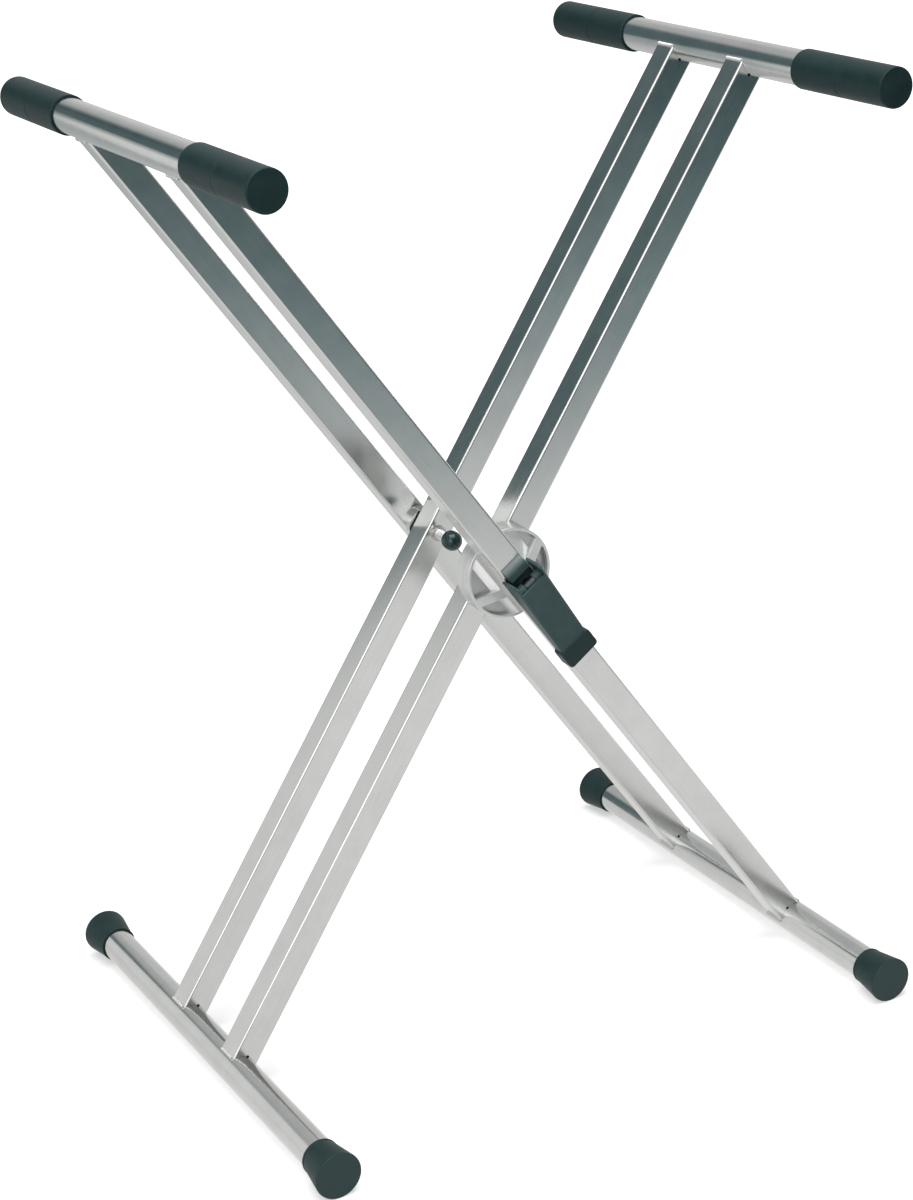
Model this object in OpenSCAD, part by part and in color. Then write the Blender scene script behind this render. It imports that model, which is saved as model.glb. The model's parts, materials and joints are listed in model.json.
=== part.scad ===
// Folding keyboard stand: two welded tube frames that cross like an X and turn about one pivot line.
// The outer frame leans to -X at the top and the inner frame leans to +X.
// Rails run along Y, with the front of the stand at -Y. The origin is on the floor, midway between the feet.

/* [Stance] */
// Angle of each frame from upright, in degrees
half_angle = 34.6; // [25:0.1:50]
// Pivot to the middle of a top rail
leg_above = 486; // [380:1:560]
// Pivot to the middle of a foot rail
leg_below = 494; // [400:1:580]

/* [Legs] */
// Width of the square leg tube
leg_w = 25; // [22:0.5:32]
// Wall of the square leg tube
leg_wall = 1.5; // [1:0.1:2.5]
// Outer corner radius of the square leg tube
leg_corner = 2; // [1.5:0.1:3]
// Distance between the middles of the two outer legs
outer_leg_spacing = 184; // [165:1:220]
// Gap between the outer and the inner front leg, which the clamp discs fill
disc_gap = 20; // [18:0.5:30]
// Gap between the outer and the inner rear leg
rear_gap = 8.5; // [7.5:0.5:14]
// Radius of the drain hole at each end of a leg
drain_r = 1.4; // [1:0.1:2]

/* [Rails] */
// Diameter of the round rails
rail_d = 30; // [28:0.5:38]
// Wall of the round rails
rail_wall = 1.5; // [1:0.1:2.5]
// Length of rail beyond the outer face of an outer leg
rail_beyond = 140.5; // [125:0.5:200]
// Radius of a weld bead
weld_r = 3.2; // [2:0.1:5]

/* [Grips and end caps] */
// Wall of the grip sleeves and end caps
grip_wall = 1.8; // [1.2:0.1:4]
// Length of a grip sleeve
grip_len = 59; // [30:1:75]
// Length of rail that an end cap covers
cap_len = 56.5; // [30:1:60]
// Thickness of the end of an end cap
cap_end = 3; // [2:0.1:6]
// Rounding of the outer edge of an end cap
cap_round = 1.6; // [0.8:0.1:2.6]

/* [Feet] */
// Wall of a foot cap at its inner end
foot_wall = 1.7; // [1.2:0.1:3]
// How far a foot cap flares out at its outer end
foot_flare = 4; // [1:0.1:10]
// Overall length of a foot cap
foot_len = 34; // [24:1:60]
// Thickness of the end of a foot cap
foot_end = 5; // [3:0.5:8]
// Rounding of the outer edge of a foot cap
foot_round = 2.6; // [1:0.1:3]
// Length of the lip at the inner end of a foot cap
foot_lip = 2; // [1:0.1:3]

/* [Clamp discs] */
// Diameter of the clamp discs
disc_d = 81; // [70:1:100]
// Width of a disc's rim
disc_rim = 2.8; // [2:0.1:5]
// Half the width of the flat land that lies along the leg
disc_land = 23; // [18:0.5:28]
// Depth of the pockets in a disc
pocket_depth = 5.6; // [3:0.1:6]
// Width of the slanted rib between two pockets
disc_rib = 9; // [5:0.5:14]
// Slant of that rib, in degrees
rib_slant = 27; // [0:1:35]
// How far below the pivot the two ribs meet
rib_drop = 18; // [10:0.5:24]
// Number of teeth on a disc
tooth_count = 36; // [24:1:40]
// Height of a tooth
tooth_h = 1; // [0.6:0.1:1.4]
// Inner radius of the ring of teeth
tooth_ring_r = 29; // [26:0.5:31]

/* [Clamp] */
// Diameter of the clamp bolt
bolt_d = 8; // [6:0.5:10]
// Travel of the clamp bolt when the lever opens
release = 1.2; // [0.8:0.1:1.6]
// Diameter of the pin that the lever turns on
pin_d = 6; // [4:0.5:6.5]
// Wall of the eye of the clamp bolt round its pin
eye_wall = 3.1; // [2.4:0.1:3.3]
// Width of the eye of the clamp bolt
eye_w = 10; // [8:0.5:12]
// Radius of the lever's cam
cam_r = 6.4; // [6.2:0.1:7.2]
// Thickness of the saddle under the cam
saddle_t = 2.5; // [2:0.1:3.5]
// Width of the saddle
saddle_w = 21.4; // [16:0.2:22]
// Height of the saddle's nose
saddle_nose_h = 7.5; // [4:0.5:8]
// Length of the saddle's nose along the leg
saddle_nose_len = 11; // [6:0.5:16]
// Size of the clamp nut across its flats
nut_af = 13; // [11:0.5:17]
// Height of the clamp nut
nut_h = 6.5; // [4:0.5:10]
// Diameter of the clamp washer
washer_d = 22; // [18:0.5:24]
// Thickness of the clamp washer
washer_t = 2; // [1:0.1:3]

/* [Lever] */
// Length from the lever's pin to its tip
lever_len = 97; // [75:1:140]
// How far the lever's cheeks reach past its pin
cheek_reach = 14; // [12:0.5:15]
// How far the cheeks reach down beside the leg, at the head
cheek_foot = 2.5; // [1:0.5:6]
// How far the cheeks reach down beside the leg, at the lip
tip_foot = 7.5; // [5:0.5:12]
// Rounding of the lever's head
head_round = 4.7; // [2:0.1:6]
// Clearance between the bolt's eye and the top of the lever's channel
lever_headroom = 2; // [1.4:0.1:5]
// Height of the lever's back above the leg, at the lip
lever_tip_h = 3.6; // [3.4:0.1:6]
// Wall of the lever's back
lever_back = 2.4; // [1.8:0.1:2.6]
// Wall of the lever's cheeks at the head
cheek_wall = 2.5; // [2:0.1:4]
// Wall of the lever's cheeks at the lip
tip_wall = 1.5; // [1.2:0.1:2.5]
// Length of the lip at the lever's tip
lip_len = 19; // [10:1:26]
// How far the lip stands out from the lever's sides
lip_side = 2.2; // [1:0.1:3]
// How far the lip stands up from the lever's back
lip_up = 1.2; // [0.5:0.1:2.5]
// Rounding of the lip's corners
lip_round = 4; // [2:0.5:6]

/* [Rear pivot] */
// Diameter of the shoulder of the rear pivot bolt
shoulder_d = 8; // [7.5:0.5:10]
// Diameter of the thin end of the rear pivot bolt
stud_d = 6; // [5:0.5:6.5]
// Size of the rear bolt's head across its flats
head_af = 13; // [11:0.5:17]
// Height of the rear bolt's head
head_h = 5.3; // [4:0.1:8]
// Diameter of the washer under the rear bolt's head
rear_washer_d = 18; // [16:0.5:24]
// Thickness of that washer
rear_washer_t = 1.6; // [1:0.1:3]
// Diameter of the spacer between the rear legs
spacer_d = 30; // [16:0.5:40]
// Wall of the pivot bushes
bush_wall = 2; // [1.5:0.1:3]
// How far the flange of the rear bush stands out from it
flange_out = 1; // [0.5:0.1:4]
// Thickness of that flange
flange_t = 1.5; // [1:0.1:2.5]

/* [Ball knob and spring] */
// Diameter of the ball knob
ball_d = 17.8; // [15:0.2:24]
// Length that the ball knob is drawn out by
ball_stretch = 2; // [1:0.1:5]
// Diameter of the flat seat at the back of the ball knob
ball_seat_d = 10.8; // [10.4:0.1:12]
// Length of the release spring
spring_len = 14.4; // [12:0.1:22]
// Diameter of the spring, at the middle of its wire
spring_mid_d = 8.4; // [8.2:0.1:9]
// Diameter of the spring's wire
wire_d = 1.4; // [1:0.1:1.5]
// Number of curls of the spring
curls = 4; // [3:1:5]

/* [Hidden] */
$fn = 64;

// Overrun of a cutting solid
cut = 1;
// Radial clearance of a running fit or a push fit
slip = 0.05;
// Clearance between two faces that turn on each other
face_gap = 0.1;
// Clearance between the tips of the two rings of teeth
tooth_gap = 0.3;
// Clearance between the cam and its saddle
cam_gap = 0.35;
// Clearance of the lever's cheeks on each side of the leg, and of its cams beside the eye
straddle = 0.4;
// End play left at the rear spacer when the clamp is open
spacer_play = 0.8;
// Gap that a weld bead fills between two tubes
weld_gap = 0.1;
// Seam between a grip sleeve and its end cap
seam = 0.4;
// Length of a bolt's end that shows past its nut
bolt_end = 2.5;

// Places along Y, where the front is negative
half_w = leg_w / 2;
outer_y = outer_leg_spacing / 2;
front_face_y = -outer_y - half_w;
disc_front_y = -outer_y + half_w;
disc_back_y = disc_front_y + disc_gap;
inner_front_y = disc_back_y + half_w;
inner_front_back_y = disc_back_y + leg_w;
outer_rear_face_y = outer_y - half_w;
outer_rear_back_y = outer_y + half_w;
inner_rear_y = outer_rear_face_y - rear_gap - half_w;
inner_rear_face_y = inner_rear_y - half_w;
inner_rear_back_y = inner_rear_y + half_w;
rail_end_y = outer_rear_back_y + rail_beyond;

// Frame
rail_r = rail_d / 2;
rail_bore = rail_r + slip;
grip_r = rail_bore + grip_wall;
foot_neck_r = rail_bore + foot_wall;
foot_r = foot_neck_r + foot_flare;
foot_start_y = rail_end_y + foot_end - foot_len;
pivot_z = leg_below * cos(half_angle) + foot_r;
cope_r = rail_r + weld_gap;

// Clamp discs
disc_t = (disc_gap - tooth_gap) / 2;
disc_r = disc_d / 2;
tooth_step = 360 / tooth_count;
tooth_width_share = 0.92;
tooth_w = tooth_ring_r * tooth_step * PI / 180 * tooth_width_share;
inner_tooth_phase = tooth_step / 2 - 2 * half_angle;

// Clamp bolt and lever
shank_r = bolt_d / 2;
front_bush_r = shank_r + slip + bush_wall;
bush_start_y = disc_back_y - disc_t + 2 * tooth_h;
cam_offset = release;
pin_r = pin_d / 2;
eye_r = pin_r + slip + eye_wall;
pin_y = front_face_y - saddle_t - cam_gap - cam_r - cam_offset;
cheek_in = half_w + straddle;
cheek_out = cheek_in + cheek_wall;
cam_out = cheek_in + cheek_wall / 2;
cam_in = eye_w / 2 + straddle;
pin_half = cheek_in + straddle;
lip_start = lever_len - lip_len;
lever_head_h = front_face_y - pin_y + eye_r + lever_headroom + lever_back;
lever_notch_share = 0.29;
lever_notch = cheek_reach * lever_notch_share;
nose_inset = 1;
nose_start = cheek_reach - nose_inset;
saddle_tail = cheek_reach - 2 * nose_inset;
nut_y = inner_front_back_y + face_gap + washer_t;

// Rear pivot
shoulder_r = shoulder_d / 2;
bush_r = shoulder_r + slip + bush_wall;
flange_y = inner_rear_face_y - flange_t;
spring_back_y = flange_y - face_gap;
spring_front_y = spring_back_y - spring_len;
ball_r = ball_d / 2;
ball_seat_y = spring_front_y - face_gap;
ball_y = ball_seat_y - sqrt(pow(ball_r, 2) - pow(ball_seat_d / 2, 2));
stud_end_y = ball_y - ball_r / 3;

// Colours
steel = "silver";
black = "darkslategray";
cast = "lightgray";
brass = "darkkhaki";

// Frames of reference: Z runs up the leg, Y runs along the pivot and X runs across the leg
module on_outer() translate([0, 0, pivot_z]) rotate([0, -half_angle, 0]) children();
module on_inner() translate([0, 0, pivot_z]) rotate([0, half_angle, 0]) children();

// The rear end of a rail, or the front end where front is true
module at_end(front) mirror([0, front ? 1 : 0, 0]) children();

// A cylinder along Y, from y0 to y1
module rod(r, y0, y1) translate([0, y1, 0]) rotate([90, 0, 0]) cylinder(r = r, h = y1 - y0);

// A cylinder along X, from x0 to x1
module cross_rod(r, x0, x1) translate([x0, 0, 0]) rotate([0, 90, 0]) cylinder(r = r, h = x1 - x0);

// A ring along Y, from y0 to y1
module ring(r, bore, y0, y1) difference() {
    rod(r, y0, y1);
    rod(bore, y0 - cut, y1 + cut);
}

// A shape turned about Y: its outline has the radius across and the place along Y upwards
module turned() rotate([-90, 0, 0]) rotate_extrude() children();

// A side view, with Y across and Z upwards, made w thick about the middle of the leg
module side_view(w) rotate([90, 0, 90]) linear_extrude(height = w, center = true) children();

// A front view, with X across and Z upwards, from y0 to y1
module front_view(y0, y1) translate([0, y1, 0]) rotate([90, 0, 0])
    linear_extrude(height = y1 - y0) children();

// A rectangle with round corners, centred
module rounded_rect(w, h, r) {
    square([w, h - 2 * r], center = true);
    square([w - 2 * r, h], center = true);
    for (sx = [-1, 1], sy = [-1, 1])
        translate([sx * (w / 2 - r), sy * (h / 2 - r)]) circle(r = r, $fn = 32);
}

// A hexagon along Y, from y0 to y1, with both faces chamfered
module hexagon(af, y0, y1) {
    corner_r = af / 2 / cos(30);
    chamfer = corner_r - af / 2;
    intersection() {
        translate([0, y1, 0]) rotate([90, 0, 0]) cylinder(r = corner_r, h = y1 - y0, $fn = 6);
        turned() polygon([[0, y0], [af / 2, y0], [corner_r, y0 + chamfer / 2],
                          [corner_r, y1 - chamfer / 2], [af / 2, y1], [0, y1]]);
    }
}

// One leg: a square tube, coped round both rails, with a drain hole at each end and two pivot holes
module leg(y, front_hole_r, back_hole_r) color(steel) translate([0, y, 0]) difference() {
    translate([0, 0, -leg_below]) linear_extrude(height = leg_below + leg_above) difference() {
        rounded_rect(leg_w, leg_w, leg_corner);
        rounded_rect(leg_w - 2 * leg_wall, leg_w - 2 * leg_wall, leg_corner / 2);
    }
    for (z = [-leg_below, leg_above]) translate([0, 0, z]) rod(cope_r, -leg_w, leg_w);
    for (z = [-leg_below + cope_r, leg_above - cope_r])
        translate([0, 0, z]) rod(drain_r, -half_w - cut, -half_w + leg_wall + cut);
    rod(front_hole_r, -half_w - cut, 0);
    rod(back_hole_r, 0, half_w + cut);
}

// A round rail, at height z up the legs
module rail(z) color(steel) translate([0, 0, z])
    ring(rail_r, rail_r - rail_wall, -rail_end_y, rail_end_y);

// The weld beads of one frame, at both sides of each leg's two ends
module welds(y_front, y_rear) color(steel)
    for (y = [y_front, y_rear], side = [-1, 1]) {
        translate([0, y, leg_above]) weld_bead(side, -1);
        translate([0, y, -leg_below]) weld_bead(side, 1);
    }

// A bead in the corner between a leg's narrow face and its rail, above the rail or below it
module weld_bead(side, up) {
    corner_z = sqrt(pow(cope_r, 2) - pow(half_w, 2));
    reach = leg_w * 2;
    difference() {
        translate([side * (half_w + weld_r / 3), 0, up * (corner_z + weld_r / 4)])
            rod(weld_r, -half_w + leg_corner, half_w - leg_corner);
        rod(cope_r, -leg_w, leg_w);
        mirror([side < 0 ? 1 : 0, 0, 0])
            translate([half_w + weld_gap - reach, -leg_w, -reach]) cube([reach, leg_w * 2, reach * 2]);
    }
}

// A grip sleeve on a rail
module grip(z, front) color(black) translate([0, 0, z]) at_end(front)
    ring(grip_r, rail_bore, rail_end_y - cap_len - grip_len, rail_end_y - cap_len - seam);

// An end cap on a top rail, with its outer edge rounded
module end_cap(z, front) color(black) translate([0, 0, z]) at_end(front) turned() difference() {
    end_y = rail_end_y + cap_end;
    union() {
        translate([0, rail_end_y - cap_len]) square([grip_r, cap_len + cap_end - cap_round]);
        translate([0, rail_end_y]) square([grip_r - cap_round, cap_end]);
        translate([grip_r - cap_round, end_y - cap_round]) circle(r = cap_round);
    }
    translate([0, rail_end_y - cap_len - cut]) square([rail_bore, cap_len + cut + slip]);
}

// A foot cap on a foot rail: a cone that grows from a lip to its rounded outer edge
module foot(front) color(black) translate([0, 0, -leg_below]) at_end(front) turned() difference() {
    end_y = foot_start_y + foot_len;
    union() {
        polygon([[0, foot_start_y], [foot_neck_r, foot_start_y], [foot_neck_r, foot_start_y + foot_lip],
                 [foot_r, end_y - foot_round], [foot_r - foot_round, end_y], [0, end_y]]);
        translate([foot_r - foot_round, end_y - foot_round]) circle(r = foot_round);
    }
    translate([0, foot_start_y - cut]) square([rail_bore, rail_end_y - foot_start_y + cut + slip]);
}

// A clamp disc: its pockets open at y = 0 and its teeth stand at the other side
module clamp_disc(bore, phase) color(cast) {
    base_t = disc_t - tooth_h;
    difference() {
        rod(disc_r, 0, base_t);
        rod(bore, -cut, base_t + cut);
        for (side = [-1, 1]) disc_pocket(side);
    }
    for (i = [0 : tooth_count - 1]) rotate([0, i * tooth_step + phase, 0]) tooth(base_t);
}

// The pockets at one side of the land, with the slanted rib left between them
module disc_pocket(side) difference() {
    rod(disc_r - disc_rim, -cut, pocket_depth);
    mirror([side > 0 ? 0 : 1, 0, 0]) translate([-disc_d, -disc_d, -disc_d])
        cube([disc_d + disc_land, disc_d * 2, disc_d * 2]);
    translate([0, 0, -rib_drop]) rotate([0, -side * rib_slant, 0])
        translate([-disc_d, -disc_d, -disc_rib / 2]) cube([disc_d * 2, disc_d * 2, disc_rib]);
}

// One radial tooth of triangular section, rooted in the disc
module tooth(base_y) {
    root = tooth_h / 4;
    translate([tooth_ring_r, base_y, 0]) rotate([0, 90, 0])
        linear_extrude(height = disc_r - tooth_ring_r - tooth_h)
            polygon([[-tooth_w / 2, -root], [tooth_w / 2, -root],
                     [tooth_w / 2, 0], [0, tooth_h], [-tooth_w / 2, 0]]);
}

module outer_clamp_disc() on_outer() translate([0, disc_front_y, 0]) clamp_disc(shank_r + slip, 0);

module inner_clamp_disc() on_inner() translate([0, disc_back_y, 0]) mirror([0, 1, 0])
    clamp_disc(front_bush_r + slip, inner_tooth_phase);

// The pad under the cam, with a nose that rises from the leg and rounds down to it again
module lever_saddle() {
    nose_steps = 10;
    nose_end = nose_start + saddle_nose_len;
    color(black) on_outer() difference() {
        side_view(saddle_w) translate([front_face_y, 0]) polygon(concat(
            [[0, -saddle_tail], [-saddle_t / 2, -saddle_tail], [-saddle_t, saddle_t / 2 - saddle_tail],
             [-saddle_t, nose_start - saddle_t / 2]],
            [for (i = [0 : nose_steps]) let (a = 90 * i / nose_steps)
                [-saddle_nose_h * cos(a), nose_end - saddle_nose_len * (1 - sin(a))]]));
        rod(shank_r + slip, front_face_y - saddle_t - cut, front_face_y + cut);
    }
}

// The draw bolt: its eye takes the lever's pin
module clamp_bolt() color(steel) on_outer() difference() {
    union() {
        rod(shank_r, pin_y, nut_y + nut_h + bolt_end);
        translate([0, pin_y, 0]) cross_rod(eye_r, -eye_w / 2, eye_w / 2);
    }
    translate([0, pin_y, 0]) cross_rod(pin_r + slip, -eye_w, eye_w);
}

module lever_pin() color(steel) on_outer() translate([0, pin_y, 0]) cross_rod(pin_r, -pin_half, pin_half);

module clamp_washer() color(steel) on_outer()
    ring(washer_d / 2, shank_r + slip, inner_front_back_y + face_gap, nut_y);

module clamp_nut() color(steel) on_outer() difference() {
    hexagon(nut_af, nut_y, nut_y + nut_h);
    rod(shank_r + slip, nut_y - cut, nut_y + nut_h + cut);
}

// The cam lever: a tapered channel that straddles the leg, with a lip at its tip and two cams at its head
module clamp_lever() {
    color(black) on_outer() difference() {
        union() {
            difference() {
                union() {
                    intersection() {
                        side_view(leg_w * 2) translate([front_face_y, 0]) lever_side();
                        front_view(front_face_y - leg_w * 2, front_face_y + leg_w) lever_plan();
                    }
                    front_view(front_face_y - lever_tip_h - lip_up, front_face_y + tip_foot + lip_side)
                        translate([0, -lip_start - lip_len / 2])
                            rounded_rect(2 * (cheek_in + tip_wall + lip_side), lip_len, lip_round);
                }
                side_view(2 * cheek_in) translate([front_face_y, 0]) lever_channel();
            }
            for (side = [-1, 1]) translate([0, pin_y + cam_offset, 0]) mirror([side < 0 ? 1 : 0, 0, 0])
                cross_rod(cam_r, cam_in, cam_out);
        }
        translate([0, pin_y, 0]) cross_rod(pin_r + slip, -pin_half - slip, pin_half + slip);
    }
}

// The lever seen from its side
module lever_side() {
    polygon([[cheek_foot, cheek_reach], [-lever_head_h + head_round, cheek_reach],
             [-lever_head_h, cheek_reach - head_round], [-lever_tip_h, -lip_start],
             [-lever_tip_h, -lip_start - lip_len / 2],
             [tip_foot, -lip_start - lip_len / 2], [tip_foot, -lip_start]]);
    translate([-lever_head_h + head_round, cheek_reach - head_round]) circle(r = head_round);
}

// The lever seen from the front
module lever_plan() polygon([[-cheek_out, cheek_reach], [cheek_out, cheek_reach],
    [cheek_in + tip_wall, -lip_start - lip_len / 2], [-cheek_in - tip_wall, -lip_start - lip_len / 2]]);

// The channel between the cheeks, which is open at the head, where the lever's back ends
module lever_channel() {
    under_tip = -lever_tip_h + lever_back;
    polygon([[leg_w, -lever_len - cut], [under_tip, -lever_len - cut], [under_tip, -lip_start],
             [-lever_head_h + lever_back, lever_notch], [-lever_head_h - cut, lever_notch],
             [-lever_head_h - cut, cheek_reach + cut], [leg_w, cheek_reach + cut]]);
}

// The rear bolt: its thick shoulder carries both rear legs and its thin end carries the spring and the knob
module rear_pivot_bolt() {
    head_y = outer_rear_back_y + rear_washer_t;
    step_y = flange_y + flange_t / 3;
    color(steel) on_outer() {
        hexagon(head_af, head_y, head_y + head_h);
        rod(shoulder_r, step_y, head_y + head_h / 2);
        rod(stud_d / 2, stud_end_y, step_y + cut);
    }
}

module rear_bolt_washer() color(steel) on_outer()
    ring(rear_washer_d / 2, shoulder_r + slip, outer_rear_back_y, outer_rear_back_y + rear_washer_t);

module rear_pivot_spacer() color(steel) on_outer()
    ring(spacer_d / 2, shoulder_r + slip, inner_rear_back_y + release + spacer_play, outer_rear_face_y);

// The knob: a ball drawn out along the bolt, flat where the spring rests on it
module ball_knob() color(black) on_outer() difference() {
    union() {
        translate([0, ball_y, 0]) rotate([90, 0, 0]) sphere(r = ball_r);
        translate([0, ball_y - ball_stretch, 0]) rotate([90, 0, 0]) sphere(r = ball_r);
        rod(ball_r, ball_y - ball_stretch, ball_y);
    }
    translate([-ball_d, ball_seat_y, -ball_d]) cube(ball_d * 2);
    rod(stud_d / 2 + slip, stud_end_y - slip, ball_seat_y + cut);
}

module front_pivot_bush() color(brass) on_inner()
    ring(front_bush_r, shank_r + slip, bush_start_y, inner_front_back_y);

module rear_pivot_bush() color(brass) on_inner() difference() {
    union() {
        rod(bush_r, flange_y, inner_rear_back_y);
        rod(bush_r + flange_out, flange_y, inner_rear_face_y);
    }
    rod(shoulder_r + slip, flange_y - cut, inner_rear_back_y + cut);
}

// The spring: one helix of wire, whose ends run straight for a wire's diameter
wire_sides = 6;
rings_a_curl = 8;
coil_rings = curls * rings_a_curl;
coil_len = spring_len - 2 * wire_d;
spring_r = spring_mid_d / 2;
coil_slope = atan(coil_len / (curls * PI * spring_mid_d));

// Each ring of the wire: its angle round the bolt, its place along the spring and the wire's slope there
straight = wire_d * 3 / 4;
wire_rings = concat(
    [[0, 0, 90], [0, straight, 90]],
    [[0, wire_d, (90 + coil_slope) / 2]],
    [for (i = [1 : coil_rings - 1])
        [360 * i / rings_a_curl, wire_d + coil_len * i / coil_rings, coil_slope]],
    [[0, spring_len - wire_d, (90 + coil_slope) / 2]],
    [[0, spring_len - straight, 90], [0, spring_len, 90]]);

function ring_middle(w) = [spring_r * cos(w[0]), w[1], spring_r * sin(w[0])];
function ring_point(w, a) = let (out = [cos(w[0]), 0, sin(w[0])], around = [-sin(w[0]), 0, cos(w[0])],
    side = around * sin(w[2]) - [0, cos(w[2]), 0])
    ring_middle(w) + wire_d / 2 * (cos(a) * out + sin(a) * side);

// The least clear distance between curls, taken between rings half a curl or more apart
spring_gap = min([for (i = [0 : len(wire_rings) - 1], j = [0 : len(wire_rings) - 1])
    if (j - i >= rings_a_curl / 2) norm(ring_middle(wire_rings[i]) - ring_middle(wire_rings[j]))]) - wire_d;
echo(spring_gap_to_itself = spring_gap);

module release_spring() {
    n = len(wire_rings);
    s = wire_sides;
    points = [for (w = wire_rings, k = [0 : s - 1]) ring_point(w, 360 * k / s)];
    walls = [for (i = [0 : n - 2], k = [0 : s - 1]) let (a = i * s + k, b = i * s + (k + 1) % s)
        each [[a, b, b + s], [a, b + s, a + s]]];
    start = [for (k = [1 : s - 2]) [0, k + 1, k]];
    end = [for (k = [1 : s - 2]) [(n - 1) * s, (n - 1) * s + k, (n - 1) * s + k + 1]];
    color(steel) on_outer() translate([0, spring_front_y, 0])
        polyhedron(points = points, faces = concat(start, walls, end));
}

module outer_leg_front() on_outer() leg(-outer_y, shank_r + slip, shank_r + slip);
module outer_leg_rear() on_outer() leg(outer_y, shoulder_r + slip, shoulder_r + slip);
module outer_top_rail() on_outer() rail(leg_above);
module outer_foot_rail() on_outer() rail(-leg_below);
module outer_welds() on_outer() welds(-outer_y, outer_y);
module outer_grip_front() on_outer() grip(leg_above, true);
module outer_grip_rear() on_outer() grip(leg_above, false);
module outer_cap_front() on_outer() end_cap(leg_above, true);
module outer_cap_rear() on_outer() end_cap(leg_above, false);
module outer_foot_front() on_outer() foot(true);
module outer_foot_rear() on_outer() foot(false);
module inner_leg_front() on_inner() leg(inner_front_y, front_bush_r + slip, front_bush_r + slip);
module inner_leg_rear() on_inner() leg(inner_rear_y, bush_r + slip, bush_r + slip);
module inner_top_rail() on_inner() rail(leg_above);
module inner_foot_rail() on_inner() rail(-leg_below);
module inner_welds() on_inner() welds(inner_front_y, inner_rear_y);
module inner_grip_front() on_inner() grip(leg_above, true);
module inner_grip_rear() on_inner() grip(leg_above, false);
module inner_cap_front() on_inner() end_cap(leg_above, true);
module inner_cap_rear() on_inner() end_cap(leg_above, false);
module inner_foot_front() on_inner() foot(true);
module inner_foot_rear() on_inner() foot(false);

outer_leg_front();
outer_leg_rear();
outer_top_rail();
outer_foot_rail();
outer_welds();
outer_grip_front();
outer_grip_rear();
outer_cap_front();
outer_cap_rear();
outer_foot_front();
outer_foot_rear();
outer_clamp_disc();
lever_saddle();
rear_pivot_bolt();
rear_bolt_washer();
rear_pivot_spacer();
ball_knob();
inner_leg_front();
inner_leg_rear();
inner_top_rail();
inner_foot_rail();
inner_welds();
inner_grip_front();
inner_grip_rear();
inner_cap_front();
inner_cap_rear();
inner_foot_front();
inner_foot_rear();
inner_clamp_disc();
front_pivot_bush();
rear_pivot_bush();
clamp_bolt();
clamp_washer();
clamp_nut();
lever_pin();
clamp_lever();
release_spring();
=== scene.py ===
import bpy
import bmesh
from math import acos, atan2, cos, pi, radians, sin, sqrt, tan
from mathutils import Matrix, Vector
from mathutils.geometry import tessellate_polygon
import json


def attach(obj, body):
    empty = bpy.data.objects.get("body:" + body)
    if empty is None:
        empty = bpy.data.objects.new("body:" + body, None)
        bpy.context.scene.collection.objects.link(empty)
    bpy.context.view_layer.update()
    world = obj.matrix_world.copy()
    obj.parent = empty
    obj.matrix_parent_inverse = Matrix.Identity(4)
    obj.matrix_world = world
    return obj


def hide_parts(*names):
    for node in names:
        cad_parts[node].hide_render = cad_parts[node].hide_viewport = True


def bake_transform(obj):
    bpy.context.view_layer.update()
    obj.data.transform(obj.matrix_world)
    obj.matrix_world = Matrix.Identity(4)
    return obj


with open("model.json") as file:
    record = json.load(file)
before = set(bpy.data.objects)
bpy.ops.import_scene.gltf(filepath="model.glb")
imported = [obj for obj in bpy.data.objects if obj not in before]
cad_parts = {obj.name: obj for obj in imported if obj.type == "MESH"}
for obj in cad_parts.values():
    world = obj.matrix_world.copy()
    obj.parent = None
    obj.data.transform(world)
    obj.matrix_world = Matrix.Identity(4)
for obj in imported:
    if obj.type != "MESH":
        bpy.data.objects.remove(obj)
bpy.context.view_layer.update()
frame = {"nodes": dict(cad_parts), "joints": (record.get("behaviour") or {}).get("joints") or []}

# The view of the photograph: a camera in front of the stand, to its left and above it.
# Its place, turns and field of view were fitted to the corners of the legs and rails.
VIEW_PLACE = Vector((-1.0212, -1.8796, 1.2114))
VIEW_YAW, VIEW_PITCH, VIEW_ROLL = radians(28.23), radians(-21.27), radians(-3.04)
VIEW_LENS, VIEW_SENSOR, VIEW_SHIFT = 77.66, 36, (0.00165, -0.00036)
view_out = Vector((sin(VIEW_YAW) * cos(VIEW_PITCH), cos(VIEW_YAW) * cos(VIEW_PITCH), sin(VIEW_PITCH)))
level_right = Vector((cos(VIEW_YAW), -sin(VIEW_YAW), 0))
level_up = level_right.cross(view_out)
view_right = cos(VIEW_ROLL) * level_right + sin(VIEW_ROLL) * level_up
view_up = -sin(VIEW_ROLL) * level_right + cos(VIEW_ROLL) * level_up
camera_data = bpy.data.cameras.new("camera")
camera_data.sensor_width, camera_data.lens = VIEW_SENSOR, VIEW_LENS
camera_data.shift_x, camera_data.shift_y = VIEW_SHIFT
camera = bpy.data.objects.new("camera", camera_data)
turn = Matrix((view_right, view_up, -view_out)).transposed()
camera.matrix_world = Matrix.Translation(VIEW_PLACE) @ turn.to_4x4()
bpy.context.scene.collection.objects.link(camera)
bpy.context.scene.camera = camera
bpy.context.scene.view_settings.view_transform = "Standard"


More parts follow.
